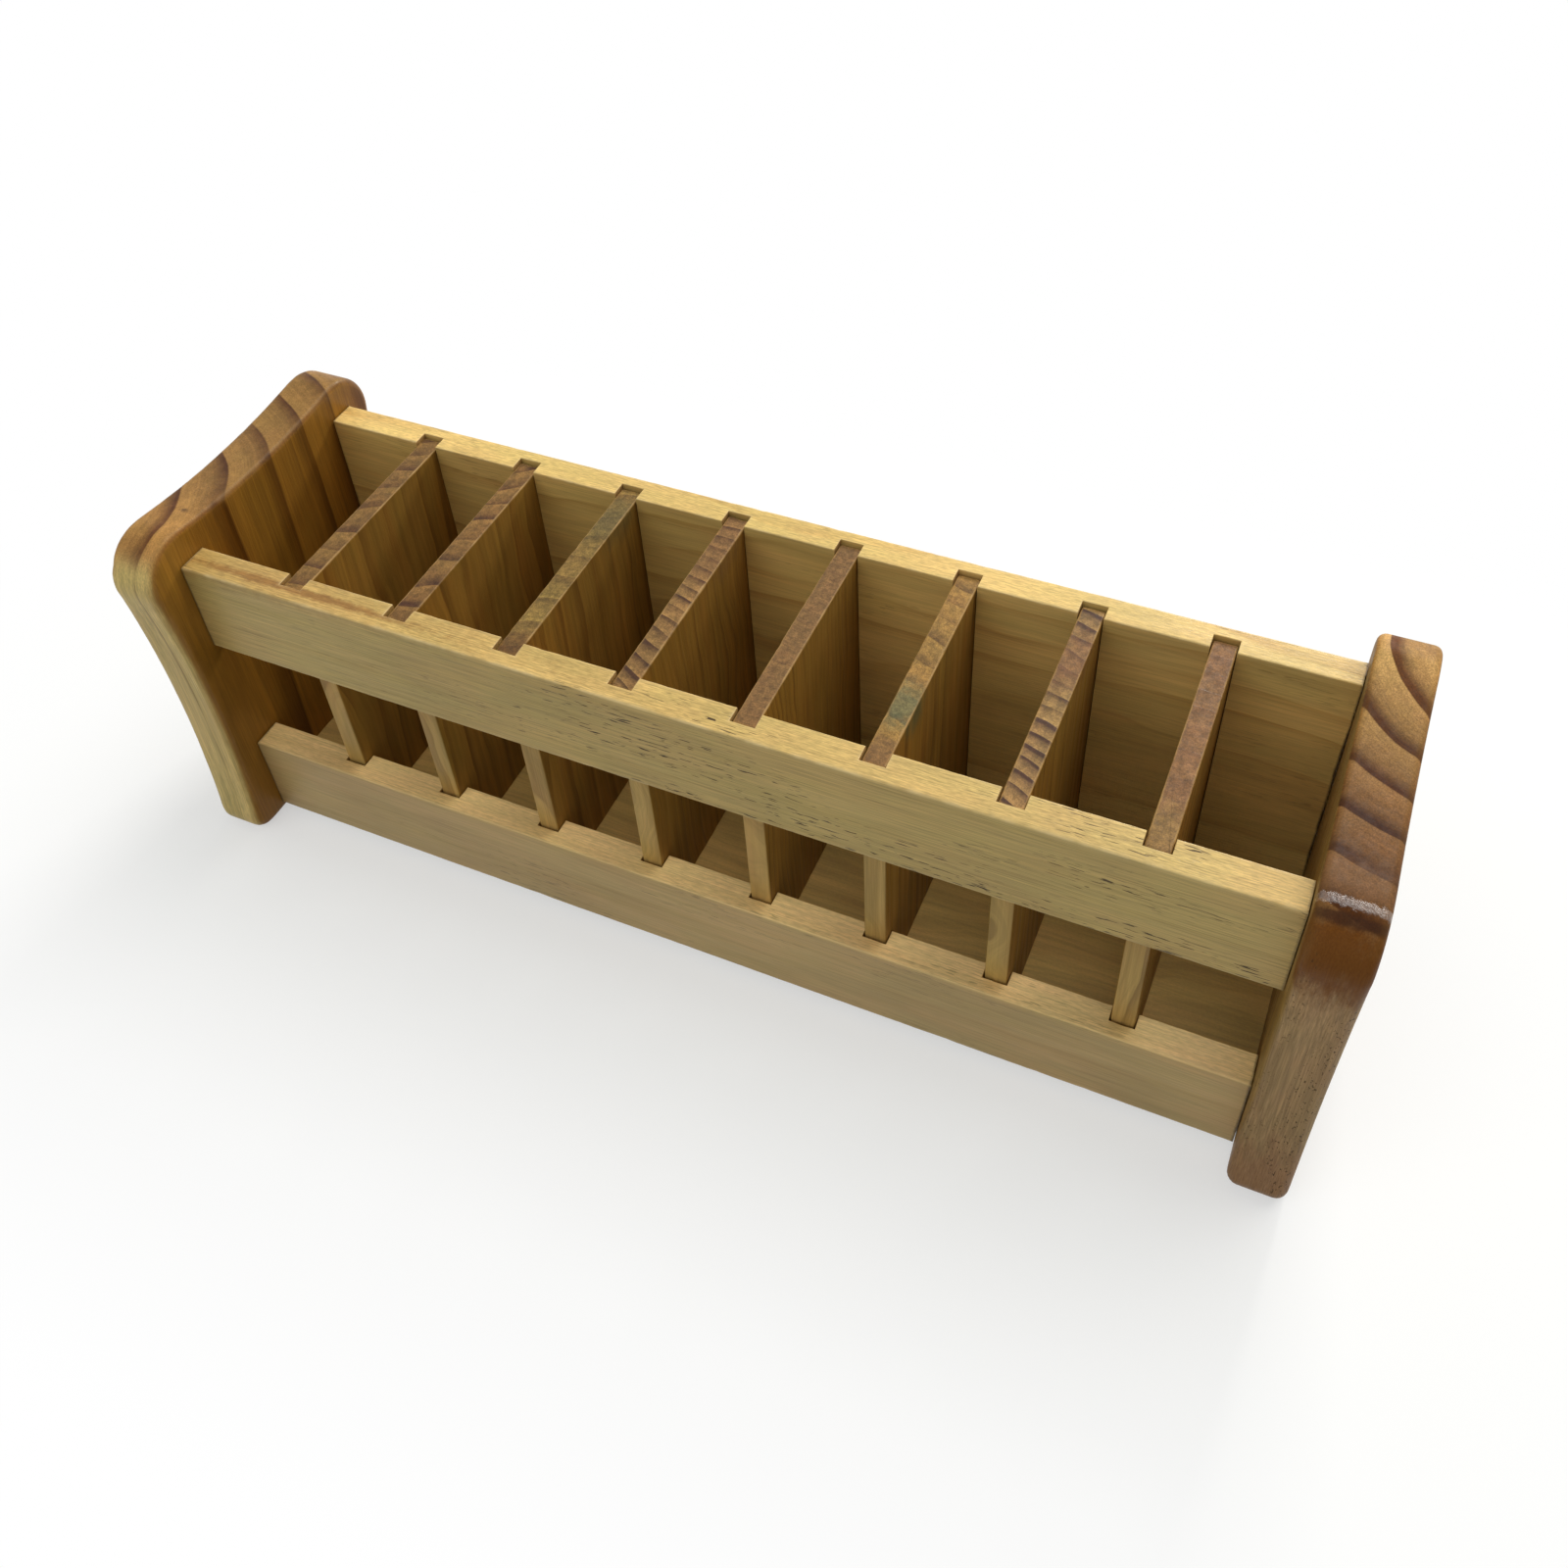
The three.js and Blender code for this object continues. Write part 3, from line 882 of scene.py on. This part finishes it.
finishes = {
    "left_end_panel": pine(
        "left end wood", "Z", (-230, -48), 14.5,
        tint(206, 168, 96), tint(100, 62, 24), tint(166, 124, 66), tint(84, 46, 10),
        wander=2.5, phase=-0.08, uneven=0.35,
        ring=0.9, front_thin=9.0, end_ring=1.1, end_wide=0.8,
        layers=14.0, streak=0.5, cut=0.0, end_cut=0.5,
        coat=0.08, gloss=0.18, worn=tint(164, 122, 66),
        # Painted shade on the inner face and painted light on the front face, their tone shifted too
        faces=((0, 1, (0.66, 0.48, 0.20)), (1, -1, (1.20, 1.36, 1.60))),
        tones=((-48, -8, (1.35, 1.32, 1.30), (1, 1, 1)),),
        marks=(
            (tint(74, 48, 24), (-186.2, -30.3, 134.0), (2.2, 1.5, 4.0), 0.9),
            (tint(96, 56, 30), (-183, 56, 128), (9, 10, 14), 0.5),
        ),
    ),
    "right_end_panel": pine(
        "right end wood", "Z", (218, 52), 14.4,
        tint(172, 146, 98), tint(118, 86, 48), tint(172, 130, 78), tint(80, 42, 8),
        wander=2.0, phase=0.59, uneven=0.3, seed=40.0,
        ring=0.35, end_ring=1.3, end_wide=0.72,
        layers=16.0, streak=0.12, fibre=0.4, cut=0.0, end_cut=0.45,
        pores=0.85, pore_spread=0.40, pore_grain=(0.8, 1.5, 1.5),
        coat=0.0, coat_ior=1.8, gloss=0.1, glaze=((189, -47.3, 136.4), (40, 1.3, 3.2)),
        worn=tint(150, 112, 66), wear=(0.0, 0.2),
        # Painted shade on the inner face, and the front and outer faces retinted
        faces=((1, -1, (1.04, 0.93, 1.02)), (0, 1, (1.12, 0.98, 0.84)), (0, -1, (0.9, 0.76, 0.5))),
        tones=(
            (-25, 45, (0.62, 0.53, 0.50), (1.32, 1.36, 1.30)),
            (20, 42, (1, 1, 1), (1.36, 1.42, 1.46)),
        ),
        marks=(
            (tint(116, 76, 42), (195, 53, 136), (7, 12, 14), 0.5),
            (tint(146, 102, 72), (189, -60, 4), (30, 16, 36), 0.6),
            (tint(120, 84, 56), (189, -40, 137), (40, 9, 8), 0.5),
            (tint(110, 62, 8), (189, -57, 125), (60, 13, 20), 0.94),
            (tint(60, 34, 20), (189, -51.5, 135), (60, 2.4, 2.4), 0.8),
        ),
    ),
    "front_upper_rail": pine(
        "upper rail wood", "X", (-40, 40), 3.2, *RAIL_COLOURS,
        wander=3, ring=0.2, streak=0.12, fibre=0.4, layered=(0.96, 1.03),
        pores=1.0, pore_spread=0.45, pore_grain=(0.15, 1.8, 1.8), pores_from=(-110, -20),
        speckle=COARSE_SPECKLE, cut=0.6, coat=0.1, worn=BARE_PINE_AND_HIGHLIGHT, wear=(0.1, 0.6),
        # Painted shade: the front face a little darker and greyer than the top
        faces=((1, -1, (0.85, 0.88, 0.92)),),
        marks=(
            (tint(140, 94, 42), (-138, -40.5, 125), (56, 2.2, 3), 0.9),
            (tint(172, 128, 66), (-185, -40, 126), (150, 14, 5), 0.4),
            # Painted shade in the gaps at both ends
            gap_shade_line(-180, -40, 107, 0.6), gap_shade_line(180, -40, 107, 0.5),
        ),
    ),
    "front_lower_rail": pine(
        "lower rail wood", "X", (-120, 10), 4.2, tint(222, 188, 122), *RAIL_COLOURS[1:],
        wander=3, seed=90.0, ring=0.2, streak=0.15, fibre=0.45, layered=(0.95, 1.04),
        pores=0.4, pore_spread=0.52, speckle=COARSE_SPECKLE, cut=0.4, coat=0.1,
        # Painted shade on the front face and painted light on the top
        faces=((1, -1, (0.82, 0.81, 0.88)), (2, 1, (1.27, 1.28, 1.42))),
        # Painted shade in the gaps at both ends
        marks=(gap_shade_line(-180, -40, 20, 0.6), gap_shade_line(180, -40, 20, 0.8)),
    ),
    "back_panel": pine(
        "back wood", "X", (90, 60), 9.0, *BACK_COLOURS,
        wander=13, seed=150.0, ring=0.65, streak=0.12, fibre=0.4, layered=(0.92, 1.05),
        pores=0.3, pore_spread=0.48, speckle=COARSE_SPECKLE, cut=0.6,
        # Painted light: the top made lighter than the other faces
        coat=0.1, worn=BARE_PINE_AND_HIGHLIGHT, wear=(0.1, 0.6), faces=((2, 1, (1.25, 1.3, 1.35)),),
        # Painted shade in the gaps at both ends
        marks=(gap_shade_line(-180, 43, 90, 0.5), gap_shade_line(180, 43, 80, 0.9)),
    ),
    "base_board": pine(
        "base wood", "X", (10, 120), 4.0, *BACK_COLOURS,
        wander=5, seed=210.0, ring=0.3, streak=0.3, cut=0.2, coat=0.05,
    ),
}

# Each divider: its pith from its middle, ring width, ring strength on top, its end grain, its marks
DIVIDER_WOODS = (
    ((-40, 110), 9.0, 1.1, tint(144, 108, 58), tint(84, 52, 28), ()),
    ((-55, 95), 8.6, 1.3, tint(146, 108, 58), tint(80, 48, 26), ()),
    ((30, -120), 11.0, 0.7, tint(150, 120, 62), tint(88, 60, 30), (
        (tint(88, 80, 50), (-60, 28, 124), (9, 13, 10), 0.55),
        (tint(92, 58, 30), (-60, -36, 124), (9, 8, 10), 0.7),
    )),
    ((-35, -95), 5.2, 1.5, tint(164, 124, 72), tint(72, 44, 24), (
        (tint(120, 84, 50), (-20, 26, 124), (9, 18, 10), 0.5),
    )),
    ((20, 200), 3.0, 0.4, tint(136, 100, 58), tint(100, 66, 38), ()),
    ((45, 120), 8.5, 0.9, tint(176, 134, 68), tint(108, 74, 36), (
        (tint(84, 98, 70), (60, -15, 124), (8, 11, 12), 0.65),
        (tint(124, 88, 54), (60, -36, 124), (9, 9, 10), 0.7),
    )),
    ((-22, -100), 5.4, 1.5, tint(176, 136, 80), tint(76, 46, 26), (
        (tint(120, 76, 46), (100, 20, 124), (9, 16, 10), 0.55),
    )),
    ((8, -40), 9.0, 0.5, tint(144, 102, 60), tint(108, 70, 40), (
        (tint(150, 118, 62), (140, -34, 124), (9, 14, 10), 0.6),
    )),
)
DIVIDER_LOG_STEP = 31.0
for index, name in enumerate(dividers):
    low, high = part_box(name)
    middle = (low.x + high.x) / 2 / MM
    (across, deep), spacing, end_ring, end_early, end_late, marks = DIVIDER_WOODS[index]
    finishes[name] = pine(
        "divider %d wood" % (index + 1), "Z", (middle + across, deep), spacing,
        *DIVIDER_SIDES, end_early, end_late,
        wander=8, waver=0.014, seed=DIVIDER_LOG_STEP * index,
        ring=0.75, end_ring=end_ring, end_wide=0.5, streak=0.45, warm=0.2, fibre=0.5, mottle=0.9,
        coat=0.08, gloss=0.18, worn=tint(182, 144, 88), wear=(0.25, 0.9),
        # Painted light: the front posts made lighter, their tone shifted too
        faces=((1, -1, (1.55, 1.85, 3.2)),), marks=marks,
    )
dowel_wood = pine("dowel wood", "X", (0, 0), 3.0, *RAIL_COLOURS, ring=0.3, coat=0.0, roughness=0.6)

# A board's wood is found by the node that it stands for, and a dowel is the CAD's own piece
for piece in list(bpy.data.objects):
    if piece.type != "MESH":
        continue
    node = list(piece.get("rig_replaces", [piece.name]))[0]
    piece.data.materials.clear()
    piece.data.materials.append(finishes.get(node, dowel_wood))

# Floor
HALF_FLOOR = 4.0
floor_mesh = bpy.data.meshes.new("floor")
floor_mesh.from_pydata(
    [(x * HALF_FLOOR, y * HALF_FLOOR, 0) for x, y in ((-1, -1), (1, -1), (1, 1), (-1, 1))],
    [],
    [(0, 1, 2, 3)],
)
floor = bpy.data.objects.new("floor", floor_mesh)
bpy.context.scene.collection.objects.link(floor)


def seen_directly(tree):
    """1 for the rays that show a backdrop: from the camera, or mirrored or passed on by a surface."""
    path = tree.nodes.new("ShaderNodeLightPath").outputs
    total = None
    for kind in ("Is Camera Ray", "Is Glossy Ray", "Is Transmission Ray"):
        if total is None:
            total = path[kind]
            continue
        add = tree.nodes.new("ShaderNodeMath")
        add.use_clamp = True
        tree.links.new(total, add.inputs[0])
        tree.links.new(path[kind], add.inputs[1])
        total = add.outputs[0]
    return total


# The floor bounces the light of a plain grey, looks white where it is seen, and keeps the shadow
SHADOW_SHARE = 0.5
SHADOW_REACH = 0.2
FLOOR_FOR_LIGHT = (0.42, 0.42, 0.42, 1)
FLOOR_SEEN = (0.98, 0.98, 0.98, 1)
FLOOR_ROUGHNESS = 0.9
rack_half = Vector(bounds_at_load[1]).xy.to_3d()
floor_recipe = Recipe("floor")
floor_tree = floor_recipe.tree
seen = seen_directly(floor_tree)
floor_colour = floor_recipe.mix(seen, FLOOR_FOR_LIGHT, FLOOR_SEEN)
floor_recipe.feed(floor_recipe.shader.inputs["Base Color"], floor_colour)
floor_recipe.shader.inputs["Roughness"].default_value = FLOOR_ROUGHNESS
floor_recipe.shader.inputs["Specular IOR Level"].default_value = 0.0
glow = floor_recipe.node("Emission", {"Color": (1, 1, 1, 1), "Strength": 1.0})
away = floor_recipe.vector("ABSOLUTE", floor_recipe.node("TexCoord").outputs["Object"])
away = floor_recipe.vector("SUBTRACT", away, tuple(rack_half))
away = floor_recipe.vector("LENGTH", floor_recipe.vector("MAXIMUM", away))
far = floor_recipe.step(away, 0.0, SHADOW_REACH, 1 - SHADOW_SHARE, 1.0)
share = floor_recipe.math("MULTIPLY", seen, far)
inputs = {0: share, 1: floor_recipe.shader.outputs[0], 2: glow.outputs[0]}
both = floor_recipe.node("MixShader", inputs)
floor_recipe.feed(floor_tree.nodes["Material Output"].inputs["Surface"], both.outputs[0])
floor_mesh.materials.append(floor_recipe.material)

# World: dim for light, white where it is seen
WORLD_LIGHT = 0.27
WORLD_COLOUR = (0.94, 1.0, 0.98, 1)
world = bpy.data.worlds.new("world")
bpy.context.scene.world = world
world.use_nodes = True
tree = world.node_tree
light = tree.nodes["Background"]
light.inputs["Color"].default_value = WORLD_COLOUR
light.inputs["Strength"].default_value = WORLD_LIGHT
white = tree.nodes.new("ShaderNodeBackground")
white.inputs["Color"].default_value = (1, 1, 1, 1)
white.inputs["Strength"].default_value = 1.0
blend = tree.nodes.new("ShaderNodeMixShader")
tree.links.new(seen_directly(tree), blend.inputs[0])
tree.links.new(light.outputs[0], blend.inputs[1])
tree.links.new(white.outputs[0], blend.inputs[2])
tree.links.new(blend.outputs[0], tree.nodes["World Output"].inputs["Surface"])

# Lamps
RACK_MIDDLE = Vector((0, 0, 0.07))
WINDOW_COLOUR = (1.0, 0.98, 0.94)
SKY_COLOUR = (1.0, 0.98, 0.93)
ROOM_COLOUR = (0.97, 1.0, 0.98)


def lamp(name, kind, towards, level, colour, **settings):
    """A lamp in a direction from the rack, strong enough to light a flat white top to a level."""
    towards = Vector(towards)
    distance = towards.length
    height = towards.normalized().z
    data = bpy.data.lights.new(name, kind)
    for key, value in settings.items():
        setattr(data, key, value)
    data.color = colour
    data.energy = level * math.pi / height * (1 if kind == "SUN" else math.pi * distance**2)
    made = bpy.data.objects.new(name, data)
    bpy.context.scene.collection.objects.link(made)
    made.location = RACK_MIDDLE + towards
    made.rotation_euler = (-towards).to_track_quat("-Z", "Y").to_euler()


lamp("window", "AREA", (0.16, 1.40, 0.80), 0.28, WINDOW_COLOUR, size=0.35)
lamp("sky", "SUN", (0.28, 0.36, 0.88), 0.36, SKY_COLOUR, angle=math.radians(40))
lamp("room", "SUN", (-0.30, -0.75, 0.72), 0.16, ROOM_COLOUR, angle=math.radians(60))
